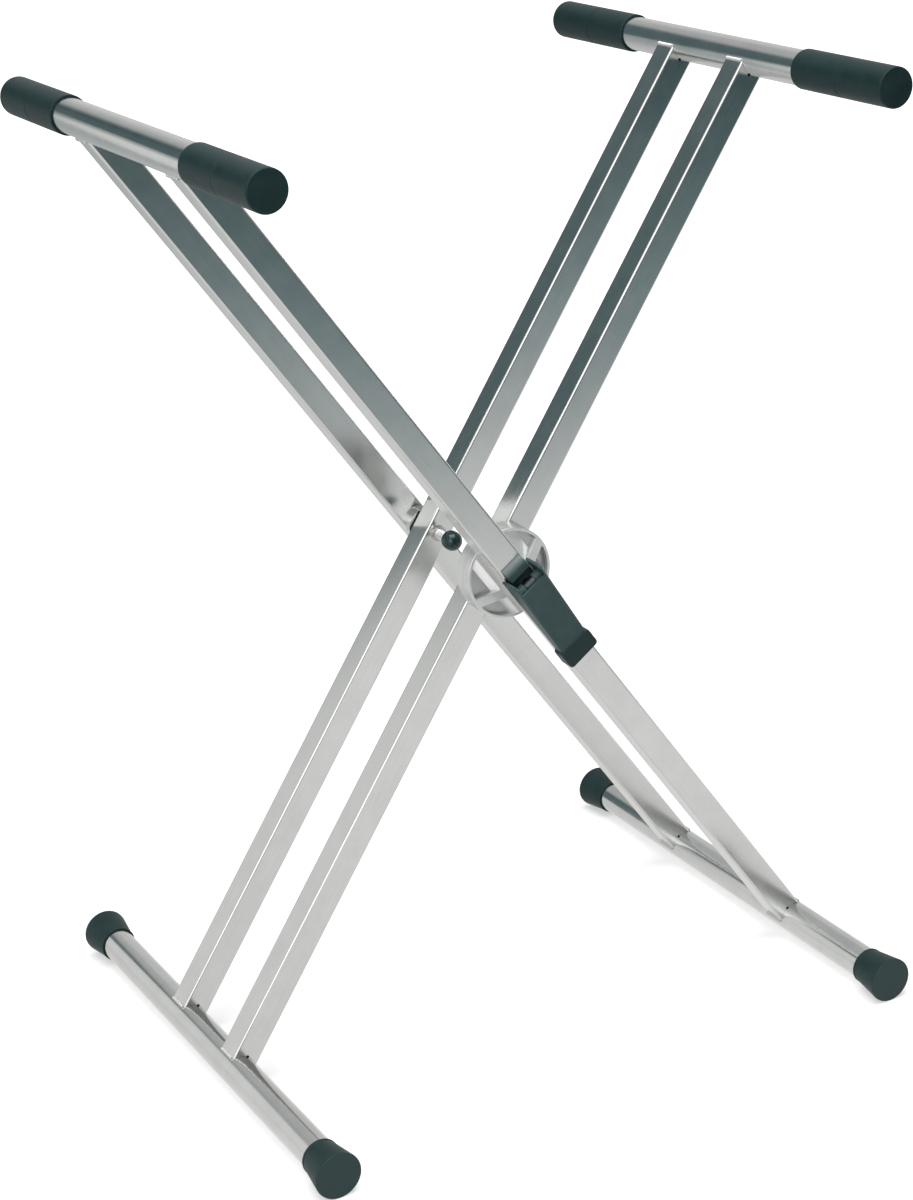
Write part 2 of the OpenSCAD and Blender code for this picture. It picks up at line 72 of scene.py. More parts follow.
# The studio: a white floor that runs on into a white backdrop, with a white wall on the left, a pale
# ceiling, and a darker room in front and above the low card at the back left. The floor is pale paint, and
# takes the stand's shadow.
FLOOR_SIZE, FLOOR_WHITE = 40.0, (0.82, 0.82, 0.82)
GLOW_START, GLOW_END, GLOW_LEAST = 0.7, 2.2, 0.45
CARD_LEFT, CARD_RIGHT = Vector((-2.25, 0.25, 0)), Vector((-0.79, 1.281, 0))
CARD_TOP_LEFT, CARD_TOP_RIGHT = Vector((-2.25, 0.25, 1.02)), Vector((-0.75, 1.309, 1.02))
FLOOR_TONES = [
    (0.0, (0.03, 0.058, 0.063)), (0.15, (0.092, 0.148, 0.158)), (0.25, (0.19, 0.262, 0.275)),
    (0.305, (0.32, 0.385, 0.395)), (0.35, (0.52, 0.565, 0.57)), (0.41, (0.93, 0.93, 0.92)),
    (0.46, (0.98, 0.975, 0.965)), (0.53, (0.84, 0.84, 0.83)), (0.6, (0.76, 0.765, 0.76)),
    (0.65, (0.68, 0.69, 0.69)), (0.7, (0.5, 0.53, 0.53)), (1.0, (0.38, 0.42, 0.43))]
FRONT_LEFT_TONE = (0.95, 0.945, 0.94)
CARD_TONES = [(0.0, (0.9, 0.9, 0.89)), (0.82, (0.9, 0.9, 0.89)), (0.94, (0.48, 0.5, 0.5))]
BACKDROP_TONES = [
    (0.0, (0.11, 0.16, 0.17)), (0.2, (0.055, 0.09, 0.098)), (0.34, (0.22, 0.26, 0.265)),
    (0.46, (0.46, 0.48, 0.48)), (0.62, (0.54, 0.55, 0.55)), (1.0, (0.72, 0.72, 0.71))]
CEILING_TONE, WHITE = (0.55, 0.56, 0.56), (1, 1, 1)
SKY_ON_PAINT, TONE_REACH = 0.4, 5.0
TONE_SHIFT = (0.3, 3.0, 0.165, -0.6)
LEFT_BLEND, FRONT_BLEND = (0.35, -0.2), (0.0, -0.6)
BACKDROP_SPAN, CEILING_EDGE, ROOM_DIMMING = (-0.3, 0.35), (0.5, 0.57), (-0.1, 0.3, 0.5, 1.0)
LEFT_WALL_EDGE, LEFT_WALL_END = (-0.08, -0.3), (0.5, 0.3)


def add_node(tree, kind, inputs=None, **settings):
    """A node with its settings, and its inputs given as values or as the sockets that feed them."""
    made = tree.nodes.new(kind)
    for name, value in settings.items():
        setattr(made, name, value)
    for name, value in (inputs or {}).items():
        if isinstance(value, bpy.types.NodeSocket):
            tree.links.new(value, made.inputs[name])
        else:
            made.inputs[name].default_value = value
    return made


def shades(tree, factor, stops):
    """The colour between stops, as a factor goes from 0 to 1."""
    ramp = add_node(tree, "ShaderNodeValToRGB", {"Fac": factor})
    elements = ramp.color_ramp.elements
    while len(elements) < len(stops):
        elements.new(0.5)
    for element, (place, colour) in zip(elements, stops):
        element.position = place
        element.color = (*colour, 1)
    return ramp.outputs["Color"]


def sums(tree, operation, *terms):
    """One number from several, added or multiplied in turn."""
    total = terms[0]
    for term in terms[1:]:
        total = add_node(tree, "ShaderNodeMath", {0: total, 1: term}, operation=operation).outputs[0]
    return total


def ranged(tree, value, start, end, low=0.0, high=1.0):
    """A number that goes from low to high while a value goes from start to end."""
    return add_node(tree, "ShaderNodeMapRange", {"Value": value, "From Min": start, "From Max": end,
                                                 "To Min": low, "To Max": high}).outputs[0]


def blended(tree, factor, first, second):
    """A colour between two, each given as a colour or as a socket."""
    first, second = (c if isinstance(c, bpy.types.NodeSocket) else (*c, 1) for c in (first, second))
    return add_node(tree, "ShaderNodeMix", {"Factor": factor, "A": first, "B": second},
                    data_type="RGBA").outputs[2]


def split_place(tree, place):
    """The three numbers of a place."""
    return add_node(tree, "ShaderNodeSeparateXYZ", {0: place}).outputs


def new_material(name):
    """A material, its tree, its shader and its coordinates on the object."""
    material = bpy.data.materials.new(name)
    material.use_nodes = True
    tree = material.node_tree
    place = add_node(tree, "ShaderNodeTexCoord").outputs["Object"]
    return material, tree, tree.nodes["Principled BSDF"], place


def stage_sheet(name, corners, mirror_tone):
    """A white sheet of the studio. Metal sees it in a tone of its own, and the camera sees it white."""
    mesh = bpy.data.meshes.new(name)
    mesh.from_pydata(corners, [], [(0, 1, 2, 3)])
    sheet = bpy.data.objects.new(name, mesh)
    bpy.context.scene.collection.objects.link(sheet)
    white, tree, paint, place = new_material(name)
    paint.inputs["Base Color"].default_value = (*FLOOR_WHITE, 1)
    paint.inputs["Roughness"].default_value = 1.0
    paint.inputs["Specular IOR Level"].default_value = 0.0
    paint.inputs["Emission Color"].default_value = (*WHITE, 1)
    ray = add_node(tree, "ShaderNodeLightPath").outputs
    distance = add_node(tree, "ShaderNodeVectorMath", {0: place}, operation="LENGTH").outputs["Value"]
    far = ranged(tree, distance, GLOW_START, GLOW_END, GLOW_LEAST, 1.0)
    tree.links.new(sums(tree, "MULTIPLY", ray["Is Camera Ray"], far), paint.inputs["Emission Strength"])
    glow = add_node(tree, "ShaderNodeEmission", {"Color": mirror_tone(tree, place)})
    mirrored = sums(tree, "ADD", ray["Is Glossy Ray"], ray["Is Transmission Ray"])
    mix = add_node(tree, "ShaderNodeMixShader", {0: mirrored, 1: paint.outputs[0], 2: glow.outputs[0]})
    tree.links.new(mix.outputs[0], tree.nodes["Material Output"].inputs["Surface"])
    mesh.materials.append(white)
    return sheet


def floor_tone(tree, place):
    """White about the stand, behind it and at the front left, and darker towards the front right."""
    split = split_place(tree, place)
    place_back = sums(tree, "ADD", split["Y"], ranged(tree, split["X"], *TONE_SHIFT))
    tone = shades(tree, ranged(tree, place_back, -TONE_REACH, TONE_REACH), FLOOR_TONES)
    on_left, in_front = ranged(tree, split["X"], *LEFT_BLEND), ranged(tree, split["Y"], *FRONT_BLEND)
    return blended(tree, sums(tree, "MULTIPLY", on_left, in_front), tone, FRONT_LEFT_TONE)


def card_tone(tree, place):
    """White, and grey along the top edge."""
    return shades(tree, split_place(tree, place)["Z"], CARD_TONES)


half = FLOOR_SIZE / 2
stage_sheet("floor", [(-half, -half, 0), (half, -half, 0), (half, half, 0), (-half, half, 0)], floor_tone)
card = stage_sheet("low_card", [CARD_LEFT, CARD_RIGHT, CARD_TOP_RIGHT, CARD_TOP_LEFT], card_tone)
card.visible_camera = False

room = bpy.data.worlds.new("room")
room.use_nodes = True
bpy.context.scene.world = room
tree = room.node_tree
split = split_place(tree, add_node(tree, "ShaderNodeTexCoord").outputs["Generated"])
backdrop = shades(tree, ranged(tree, split["X"], *BACKDROP_SPAN), BACKDROP_TONES)
behind = ranged(tree, split["Y"], *ROOM_DIMMING)
dimmed = add_node(tree, "ShaderNodeVectorMath", {0: backdrop, "Scale": behind}, operation="SCALE").outputs[0]
dimmed = blended(tree, ranged(tree, split["Z"], *CEILING_EDGE), dimmed, CEILING_TONE)
at_left, beside = ranged(tree, split["X"], *LEFT_WALL_EDGE), ranged(tree, split["Y"], *LEFT_WALL_END)
backdrop = blended(tree, sums(tree, "MULTIPLY", at_left, beside), dimmed, WHITE)
ray = add_node(tree, "ShaderNodeLightPath").outputs
mirrored = sums(tree, "ADD", ray["Is Glossy Ray"], ray["Is Transmission Ray"])
soft_part = sums(tree, "MULTIPLY", ray["Is Diffuse Ray"], SKY_ON_PAINT)
sky = tree.nodes["Background"]
tree.links.new(blended(tree, mirrored, WHITE, backdrop), sky.inputs["Color"])
tree.links.new(sums(tree, "ADD", mirrored, soft_part, ray["Is Camera Ray"]), sky.inputs["Strength"])


def soft_box(name, place, aim, width, height, watts):
    """A studio lamp behind a rectangle of cloth, turned towards a point."""
    lamp = bpy.data.lights.new(name, "AREA")
    lamp.shape = "RECTANGLE"
    lamp.size, lamp.size_y, lamp.energy = width, height, watts
    box = bpy.data.objects.new(name, lamp)
    box.location = place
    box.rotation_euler = (Vector(aim) - Vector(place)).to_track_quat("-Z", "Y").to_euler()
    box.visible_camera = False
    bpy.context.scene.collection.objects.link(box)


soft_box("overhead_soft_box", (-0.1, -0.3, 2.6), aim=(0, 0, 0.4), width=2.2, height=1.6, watts=44)
soft_box("front_left_soft_box", (-1.5, -1.25, 1.4), aim=(0, -0.05, 0.4), width=1.3, height=2.0, watts=14)
soft_box("right_strip_light", (2.2, 0.12, 0.45), aim=(0, -0.1, 0.43), width=0.35, height=1.0, watts=1.8)


# The legs: four square steel tubes, drawn, coped round their rails and welded, then plated bright. The nodes
# of the part carry their shape, and the plating has fine lengthwise draw lines and a faint cloudiness.
PIVOT = Vector(next(j for j in frame["joints"] if j["name"] == "fold")["pos_m"])
swing_axis = next(j for j in frame["joints"] if j["name"] == "lever_swing")["axis"]
TILT = atan2(-swing_axis[2], -swing_axis[0])
PLATE_LIGHT, PLATE_DARK = (0.665, 0.67, 0.66), (0.58, 0.588, 0.58)
LINE_STRETCH, LINE_SCALE, LINE_SHARE, LINE_DEPTH, LINE_RELIEF = 40, 900.0, 0.35, 0.0002, 0.025
CLOUD_SCALE, NOISE_LOW, NOISE_HIGH = 38.0, 0.3, 0.7


def speckled(tree, place, scale, detail, roughness=0.5):
    """Fine noise, mostly between its low and its high."""
    return add_node(tree, "ShaderNodeTexNoise", {"Vector": place, "Scale": scale, "Detail": detail,
                                                 "Roughness": roughness}).outputs[0]


def two_toned(tree, pattern, dark, light):
    """A colour that follows a pattern from dark to light."""
    return shades(tree, pattern, [(NOISE_LOW, dark), (NOISE_HIGH, light)])


def textured(tree, surface, pattern, roughness, relief, strength, depth):
    """Gives a surface a roughness that follows a pattern, and a fine relief."""
    tree.links.new(ranged(tree, pattern, NOISE_LOW, NOISE_HIGH, *roughness), surface.inputs["Roughness"])
    bump = add_node(tree, "ShaderNodeBump", {"Strength": strength, "Distance": depth, "Height": relief})
    tree.links.new(bump.outputs[0], surface.inputs["Normal"])


def plated_steel(name, turn, stretch, roughness=(0.15, 0.21), bright=1.0):
    """Bright plating whose draw lines run along one axis of a turned frame."""
    light, dark = (tuple(c * bright for c in colour) for colour in (PLATE_LIGHT, PLATE_DARK))
    finish, tree, metal, place = new_material(name)
    metal.inputs["Metallic"].default_value = 1.0
    along = add_node(tree, "ShaderNodeMapping", {"Vector": place, "Rotation": turn, "Scale": stretch},
                     vector_type="TEXTURE").outputs[0]
    lines = speckled(tree, along, LINE_SCALE, detail=3.0)
    clouds = speckled(tree, place, CLOUD_SCALE, detail=4.0, roughness=0.6)
    mixed = add_node(tree, "ShaderNodeMix", {"Factor": LINE_SHARE, "A": clouds, "B": lines},
                     data_type="FLOAT").outputs[0]
    tree.links.new(two_toned(tree, mixed, dark, light), metal.inputs["Base Color"])
    textured(tree, metal, mixed, roughness, lines, strength=LINE_RELIEF, depth=LINE_DEPTH)
    return finish


def finish_node(finish, *names):
    """Gives nodes of the part their finish."""
    for name in names:
        slots = frame["nodes"][name].data.materials
        slots.clear()
        slots.append(finish)


outer_leg_plating = plated_steel("outer_leg_plating", (0, -TILT, 0), (1, 1, LINE_STRETCH))
inner_leg_plating = plated_steel("inner_leg_plating", (0, TILT, 0), (1, 1, LINE_STRETCH))
finish_node(outer_leg_plating, "outer_leg_front", "outer_leg_rear")
finish_node(inner_leg_plating, "inner_leg_front", "inner_leg_rear")


# The rails: four round steel tubes that lie across the legs, plated with them. Their draw lines run from
# side to side of the stand.
rail_plating = plated_steel("rail_plating", (0, 0, 0), (1, LINE_STRETCH, 1), roughness=(0.14, 0.19))
finish_node(rail_plating, "outer_top_rail", "outer_foot_rail", "inner_top_rail", "inner_foot_rail")


# The welds: a bead laid in each corner between a leg's narrow face and its rail, in a row of overlapping
# ripples, and plated over. Geometry nodes lay the ripples along the line of each corner.
HALF_LEG, LEG_ABOVE, LEG_BELOW, COPE_RADIUS = 0.0125, 0.486, 0.494, 0.0151
OUTER_LEG_Y, INNER_LEG_Y = (-0.092, 0.092), (-0.047, 0.0585)
BEAD_RADIUS, BEAD_PITCH, BEAD_HALF_LENGTH, BEAD_FLATNESS = 0.0018, 0.0017, 0.0096, 0.62
OFF_LEG, OFF_RAIL = 0.0002, 0.0001
BEAD_ACROSS = HALF_LEG + OFF_LEG
BEAD_ALONG = sqrt(COPE_RADIUS ** 2 - HALF_LEG ** 2) + OFF_RAIL


def frame_place(lean):
    """A frame whose legs lean by an angle: X goes across the leg, Y along the pivot, Z up the leg."""
    return Matrix.Translation(PIVOT) @ Matrix.Rotation(lean, 4, "Y")


OUTER, INNER = frame_place(-TILT), frame_place(TILT)


def new_piece(name, points, faces, edges=()):
    """An object of points that are already in place."""
    mesh = bpy.data.meshes.new(name)
    mesh.from_pydata([tuple(p) for p in points], list(edges), faces)
    mesh.update()
    piece = bpy.data.objects.new(name, mesh)
    bpy.context.scene.collection.objects.link(piece)
    return piece


def node_group(name, sizes):
    """An empty tree of geometry nodes with named inputs. Gives the tree and its two ends."""
    tree = bpy.data.node_groups.new(name, "GeometryNodeTree")
    tree.interface.new_socket("Geometry", in_out="INPUT", socket_type="NodeSocketGeometry")
    for label, kind in sizes:
        tree.interface.new_socket(label, in_out="INPUT", socket_type=kind)
    tree.interface.new_socket("Geometry", in_out="OUTPUT", socket_type="NodeSocketGeometry")
    return tree, tree.nodes.new("NodeGroupInput"), tree.nodes.new("NodeGroupOutput")


def grown(piece, group, sizes):
    """Runs a tree of geometry nodes on a piece and keeps the result as its plain mesh."""
    modifier = piece.modifiers.new(group.name, "NODES")
    modifier.node_group = group
    for item in group.interface.items_tree:
        if item.in_out == "INPUT" and item.name in sizes:
            modifier[item.identifier] = sizes[item.name]
    bpy.context.view_layer.update()
    result = bpy.data.meshes.new_from_object(piece.evaluated_get(bpy.context.evaluated_depsgraph_get()))
    piece.modifiers.remove(modifier)
    piece.data = result
    return piece


ripples, ripples_in, ripples_out = node_group("weld_ripples", [
    ("Bead radius", "NodeSocketFloat"), ("Pitch", "NodeSocketFloat"), ("Flatness", "NodeSocketFloat"),
    ("Seed", "NodeSocketInt"), ("Finish", "NodeSocketMaterial")])
path = add_node(ripples, "GeometryNodeMeshToCurve", {"Mesh": ripples_in.outputs["Geometry"]})
steps = add_node(ripples, "GeometryNodeResampleCurve", {
    "Curve": path.outputs[0], "Length": ripples_in.outputs["Pitch"]}, mode="LENGTH")
ripple = add_node(ripples, "GeometryNodeMeshIcoSphere", {
    "Radius": ripples_in.outputs["Bead radius"], "Subdivisions": 3})
shrink = add_node(ripples, "FunctionNodeRandomValue", {
    "Min": (0.93, 0.93, 0.93), "Max": (1.03, 1.03, 1.03), "Seed": ripples_in.outputs["Seed"]},
    data_type="FLOAT_VECTOR")
flat = add_node(ripples, "ShaderNodeCombineXYZ", {"X": 1.0, "Y": ripples_in.outputs["Flatness"], "Z": 1.0})
ripple_size = add_node(ripples, "ShaderNodeVectorMath", {0: shrink.outputs[0], 1: flat.outputs[0]},
                       operation="MULTIPLY")
laid = add_node(ripples, "GeometryNodeInstanceOnPoints", {
    "Points": steps.outputs[0], "Instance": ripple.outputs[0], "Scale": ripple_size.outputs[0]})
smooth = add_node(ripples, "GeometryNodeSetShadeSmooth", {
    "Geometry": add_node(ripples, "GeometryNodeRealizeInstances", {"Geometry": laid.outputs[0]}).outputs[0]})
painted = add_node(ripples, "GeometryNodeSetMaterial", {
    "Geometry": smooth.outputs[0], "Material": ripples_in.outputs["Finish"]})
ripples.links.new(painted.outputs[0], ripples_out.inputs[0])

weld_plating = plated_steel("weld_plating", (0, 0, 0), (1, 1, 1), roughness=(0.24, 0.34), bright=0.78)
for side_name, place, leg_places, seed in (("outer", OUTER, OUTER_LEG_Y, 3),
                                           ("inner", INNER, INNER_LEG_Y, 8)):
    points, edges = [], []
    for leg_y in leg_places:
        for side in (-1, 1):
            for end, up in ((LEG_ABOVE, -1), (-LEG_BELOW, 1)):
                for along in (-BEAD_HALF_LENGTH, BEAD_HALF_LENGTH):
                    points.append(place @ Vector((side * BEAD_ACROSS, leg_y + along, end + up * BEAD_ALONG)))
                edges.append((len(points) - 2, len(points) - 1))
    beads = grown(new_piece(side_name + "_weld_ripples", points, [], edges), ripples, {
        "Bead radius": BEAD_RADIUS, "Pitch": BEAD_PITCH, "Flatness": BEAD_FLATNESS, "Seed": seed,
        "Finish": weld_plating})
    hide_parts(side_name + "_welds")
    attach(beads, side_name + "_frame")


# The grip sleeves: extruded rubber pushed on the top rails. Each has eased ends and a faint skin of
# mould grain, with dust in it.
RAIL_BORE, GRIP_RADIUS, RAIL_END = 0.01505, 0.01685, 0.245
GRIP_START, GRIP_END, GRIP_EASE, BORE_EASE = 0.1295, 0.1881, 0.0008, 0.0003
TOP_RAILS = {"outer": OUTER @ Vector((0, 0, LEG_ABOVE)), "inner": INNER @ Vector((0, 0, LEG_ABOVE))}
RUBBER, TEAL_GLOSS = (0.0072, 0.0190, 0.0200), (0.72, 0.98, 1.0)
DEEP_SHARE, PALE_SHARE, RUBBED_SHARE = 0.86, 1.35, 1.9
WORN_EDGE, MOULD_CLOUDS, GLOSS_SPREAD, GRAIN_RELIEF = (0.51, 0.6), 70.0, 0.05, 0.35
LEAST_TURN, MOST_REACH, TINY = 0.2, 0.49, 1e-7


def eased(outline, radius, steps=5):
    """A closed outline with its corners rounded. A corner may give its own radius as a third number."""
    result = []
    for i, corner in enumerate(outline):
        here = Vector(corner[:2])
        size = corner[2] if len(corner) > 2 else radius
        back = Vector(outline[i - 1][:2]) - here
        ahead = Vector(outline[(i + 1) % len(outline)][:2]) - here
        turn = pi - back.angle(ahead) if back.length and ahead.length else 0
        if size <= 0 or turn < LEAST_TURN:
            result.append(here)
            continue
        reach = min(size * tan(turn / 2), back.length * MOST_REACH, ahead.length * MOST_REACH)
        start, end = here + back.normalized() * reach, here + ahead.normalized() * reach
        for step in range(steps + 1):
            t = step / steps
            result.append(start * (1 - t) ** 2 + here * 2 * t * (1 - t) + end * t ** 2)
    return result


def turned(name, outline, middle, steps=72, mirror=False):
    """A lathe piece about a line along Y: its closed outline is of (radius, place along Y)."""
    shape = bmesh.new()
    rings = []
    for radius, along in outline:
        y = -along if mirror else along
        if radius < TINY:
            rings.append([shape.verts.new((middle.x, y, middle.z))] * steps)
            continue
        rings.append([shape.verts.new((middle.x + radius * cos(2 * pi * k / steps), y,
                                       middle.z + radius * sin(2 * pi * k / steps))) for k in range(steps)])
    for ring, following in zip(rings, rings[1:] + rings[:1]):
        for k in range(steps):
            corners = []
            for point in (ring[k], ring[(k + 1) % steps], following[(k + 1) % steps], following[k]):
                if point not in corners:
                    corners.append(point)
            if len(corners) > 2:
                shape.faces.new(corners)
    bmesh.ops.recalc_face_normals(shape, faces=shape.faces)
    mesh = bpy.data.meshes.new(name)
    shape.to_mesh(mesh)
    shape.free()
    piece = bpy.data.objects.new(name, mesh)
    bpy.context.scene.collection.objects.link(piece)
    return softened(piece)


def softened(piece, angle=40):
    """Smooth shading that keeps flats flat and breaks at edges sharper than an angle."""
    mesh = piece.data
    mesh.shade_smooth()
    mesh.set_sharp_from_angle(angle=radians(angle))
    weighted = piece.modifiers.new("flat_faces_stay_flat", "WEIGHTED_NORMAL")
    weighted.keep_sharp = True
    return piece


def moulded(name, colour, roughness, grain, depth, shine=0.25):
    """Moulded rubber or plastic: fine grain, cloudy tone and edges rubbed a little paler."""
    finish, tree, skin, place = new_material(name)
    skin.inputs["Specular IOR Level"].default_value = shine
    skin.inputs["Specular Tint"].default_value = (*TEAL_GLOSS, 1)
    deep, pale, rubbed = (tuple(min(1.0, c * share) for c in colour)
                          for share in (DEEP_SHARE, PALE_SHARE, RUBBED_SHARE))
    clouds = speckled(tree, place, MOULD_CLOUDS, detail=5.0, roughness=0.65)
    worn = ranged(tree, add_node(tree, "ShaderNodeNewGeometry").outputs["Pointiness"], *WORN_EDGE)
    tone = blended(tree, worn, two_toned(tree, clouds, deep, pale), rubbed)
    tree.links.new(tone, skin.inputs["Base Color"])
    pits = speckled(tree, place, grain, detail=2.0)
    textured(tree, skin, clouds, (roughness - GLOSS_SPREAD, roughness + GLOSS_SPREAD), pits,
             strength=GRAIN_RELIEF, depth=depth)
    return finish


def dress(piece, finish, slot_name, body, *stands_for):
    """Finishes a piece, hides the nodes that it stands for, and fixes it to its body. slot_name is not used.
    """
    piece.data.materials.clear()
    piece.data.materials.append(finish)
    if stands_for:
        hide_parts(*stands_for)
    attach(piece, body)


grip_rubber = moulded("grip_rubber", RUBBER, roughness=0.5, grain=2600.0, depth=0.0001)
grip_outline = eased([(RAIL_BORE, GRIP_START, BORE_EASE), (GRIP_RADIUS, GRIP_START), (GRIP_RADIUS, GRIP_END),
                      (RAIL_BORE, GRIP_END, BORE_EASE)], GRIP_EASE)
for side_name, middle in TOP_RAILS.items():
    for end_name, is_front in (("front", True), ("rear", False)):
        sleeve = turned(f"{side_name}_{end_name}_grip_sleeve", grip_outline, middle, mirror=is_front)
        dress(sleeve, grip_rubber, "grip_rubber", side_name + "_frame", f"{side_name}_grip_{end_name}")


# The end caps: moulded plastic cups that close the top rails. They are as thick as the sleeves, and their
# outer edge is rounded and catches the light.
CAP_START, CAP_END, CAP_ROUND, CAP_EASE = 0.1885, 0.248, 0.0016, 0.0005
CUP_FLOOR = RAIL_END + 0.00005
cap_plastic = moulded("cap_plastic", RUBBER, roughness=0.48, grain=2400.0, depth=0.0001)
cap_outline = eased([(RAIL_BORE, CAP_START, BORE_EASE), (GRIP_RADIUS, CAP_START, CAP_EASE),
                     (GRIP_RADIUS, CAP_END, CAP_ROUND), (0, CAP_END), (0, CUP_FLOOR), (RAIL_BORE, CUP_FLOOR)],
                    0, steps=8)
for side_name, middle in TOP_RAILS.items():
    for end_name, is_front in (("front", True), ("rear", False)):
        cap = turned(f"{side_name}_{end_name}_end_cap", cap_outline, middle, mirror=is_front)
        dress(cap, cap_plastic, "black_plastic", side_name + "_frame", f"{side_name}_cap_{end_name}")


# The feet: moulded cups of harder rubber on the foot rails. Each grows from a thin lip to a wide rounded end,
# whose flat is painted paler as painted light, and stands on the floor.
FOOT_START, FOOT_END = 0.216, 0.25
FOOT_NECK, FOOT_RADIUS, FOOT_ROUND, FOOT_LIP = 0.01675, 0.02075, 0.0026, 0.002
NECK_BORE_EASE, NECK_EASE, FOOT_LIP_EASE, LIP_STEP, LIP_FALL = 0.0002, 0.0005, 0.0006, 0.0003, 0.0005
FOOT_RAILS = {"outer": OUTER @ Vector((0, 0, -LEG_BELOW)), "inner": INNER @ Vector((0, 0, -LEG_BELOW))}
FOOT_RUBBER, FOOT_END_PAINTED_LIGHT, FOOT_END_LIGHT_BLEND = (0.0115, 0.0255, 0.0265), (0.030, 0.050, 0.051), 0.0012
foot_rubber = moulded("foot_rubber", FOOT_RUBBER, roughness=0.5, grain=1500.0, depth=0.00015)
tree = foot_rubber.node_tree
place = split_place(tree, add_node(tree, "ShaderNodeTexCoord").outputs["Object"])
reach = add_node(tree, "ShaderNodeMath", {0: place["Y"]}, operation="ABSOLUTE").outputs[0]
skin_colour = tree.nodes["Principled BSDF"].inputs["Base Color"]
# Painted light: the flat end of each foot is painted paler than its sides.
tree.links.new(blended(tree, ranged(tree, reach, FOOT_END - FOOT_END_LIGHT_BLEND, FOOT_END),
                       skin_colour.links[0].from_socket, FOOT_END_PAINTED_LIGHT), skin_colour)
foot_outline = eased([
    (RAIL_BORE, FOOT_START, NECK_BORE_EASE), (FOOT_NECK, FOOT_START, NECK_EASE),
    (FOOT_NECK, FOOT_START + FOOT_LIP, FOOT_LIP_EASE),
    (FOOT_NECK - LIP_STEP, FOOT_START + FOOT_LIP + LIP_FALL, LIP_STEP),
    (FOOT_RADIUS, FOOT_END - FOOT_ROUND * 0.9, FOOT_ROUND * 0.6), (FOOT_RADIUS, FOOT_END, FOOT_ROUND),
    (0, FOOT_END), (0, CUP_FLOOR), (RAIL_BORE, CUP_FLOOR)], 0, steps=8)
for side_name, middle in FOOT_RAILS.items():
    for end_name, is_front in (("front", True), ("rear", False)):
        foot = turned(f"{side_name}_{end_name}_foot_cap", foot_outline, middle, mirror=is_front)
        dress(foot, foot_rubber, "black_plastic", side_name + "_frame", f"{side_name}_foot_{end_name}")


# The clamp discs: two castings, face to face, each with a land along its leg and two pockets on either side,
# whose floor rises to the land in a slope that carries a painted highlight, with a slanted rib between. The
# pocket floors, the backs and the teeth are painted darker, as painted shade. Geometry nodes repeat the teeth
# of the meeting faces.
DISC_RADIUS, DISC_RIM, DISC_EASE, REACH_SHARE = 0.0405, 0.0028, 0.0005, 0.45
POCKET_DEPTH, DISC_BASE, BASE_EASE = 0.0056, 0.00885, 0.0003
POCKET_EDGE, POCKET_ROUND, LIP_WIDTH, LIP_EASE = 0.0152, 0.0016, 0.0007, 0.00015
RAMP_ENDS, RAMP_TOP, RAMP_REACH, RAMP_INTO = {-1: 0.0215, 1: 0.0280}, 0.0008, 0.039, 0.001
RAMP_HALF_ROWS = (0.0352, 0.0335, 0.031, 0.029, 0.027, 0.025, 0.02)
RIB_WIDTH, RIB_SLANT, RIB_DROP = 0.009, radians(27), 0.018
RIM_STEPS, BORE_STEPS, SAME_PLACE = 128, 48, 1e-6
TOOTH_COUNT, TOOTH_RING, TOOTH_HEIGHT, TOOTH_SHARE, TIP_SHARE = 36, 0.029, 0.001, 0.92, 0.12
OUTER_DISC_FRONT, INNER_DISC_BACK, DISC_MIDDLE_Y = -0.0795, -0.0595, -0.0695
BOLT_BORE, BUSH_BORE, OVERLAP = 0.00405, 0.0061, 0.0006
CAST_LIGHT, CAST_DARK, CAST_PAINTED_SHADE = (0.76, 0.765, 0.76), (0.66, 0.67, 0.665), (0.53, 0.545, 0.54)
RAMP_PAINTED_HIGHLIGHT, RAMP_HIGHLIGHT_FADE, CAST_GLOSS = (0.95, 0.95, 0.94), (-0.012, 0.004), (0.3, 0.42)
CAST_METALLIC, RAMP_HIGHLIGHT_METALLIC, WALL_BLEND, PAINTED_SHADE_DEPTHS = 0.8, 0.7, 0.0003, (0.0078, 0.0046)


def shifted(loop, by):
    """A loop moved to its left by a distance, which is inwards for one that runs anticlockwise."""
    result = []
    for i, here in enumerate(loop):
        into = (here - loop[i - 1]).normalized()
        out = (loop[(i + 1) % len(loop)] - here).normalized()
        left = Vector((-into.y - out.y, into.x + out.x))
        left.normalize()
        result.append(here + left * by / max(REACH_SHARE, left.dot(Vector((-into.y, into.x)))))
    return result


def plate(name, loops, low, high, edge, place, steps=4):
    """A flat piece with an outline, holes and rounded edges. place puts (x, y, height) in the frame."""
    loops = [[p for i, p in enumerate(loop) if (p - loop[i - 1]).length > SAME_PLACE] for loop in loops]
    levels = [(edge * (1 - sin(pi / 2 * k / steps)), low + edge * (1 - cos(pi / 2 * k / steps)))
              for k in range(steps + 1)]
    levels += [(inset, high - (height - low)) for inset, height in reversed(levels)]
    points, faces, ends = [], [], ([], [])
    for loop in loops:
        size, first = len(loop), len(points)
        for inset, height in levels:
            points += [place(p.x, p.y, height) for p in shifted(loop, inset)]
        for row in range(len(levels) - 1):
            for k in range(size):
                a, b = first + row * size + k, first + row * size + (k + 1) % size
                faces.append((a, b, b + size, a + size))
        ends[0].append((first, shifted(loop, edge)))
        ends[1].append((first + (len(levels) - 1) * size, shifted(loop, edge)))
    for group in ends:
        indices = [start + k for start, loop in group for k in range(len(loop))]
        for triangle in tessellate_polygon([[Vector((p.x, p.y, 0)) for p in loop] for start, loop in group]):
            faces.append(tuple(indices[k] for k in triangle))
    piece = new_piece(name, points, faces)
    outward(piece)
    return piece


def outward(piece):
    """Merges a closed piece's doubles and turns its faces outwards."""
    shape = bmesh.new()
    shape.from_mesh(piece.data)
    bmesh.ops.remove_doubles(shape, verts=shape.verts, dist=TINY)
    bmesh.ops.recalc_face_normals(shape, faces=shape.faces)
    shape.to_mesh(piece.data)
    shape.free()


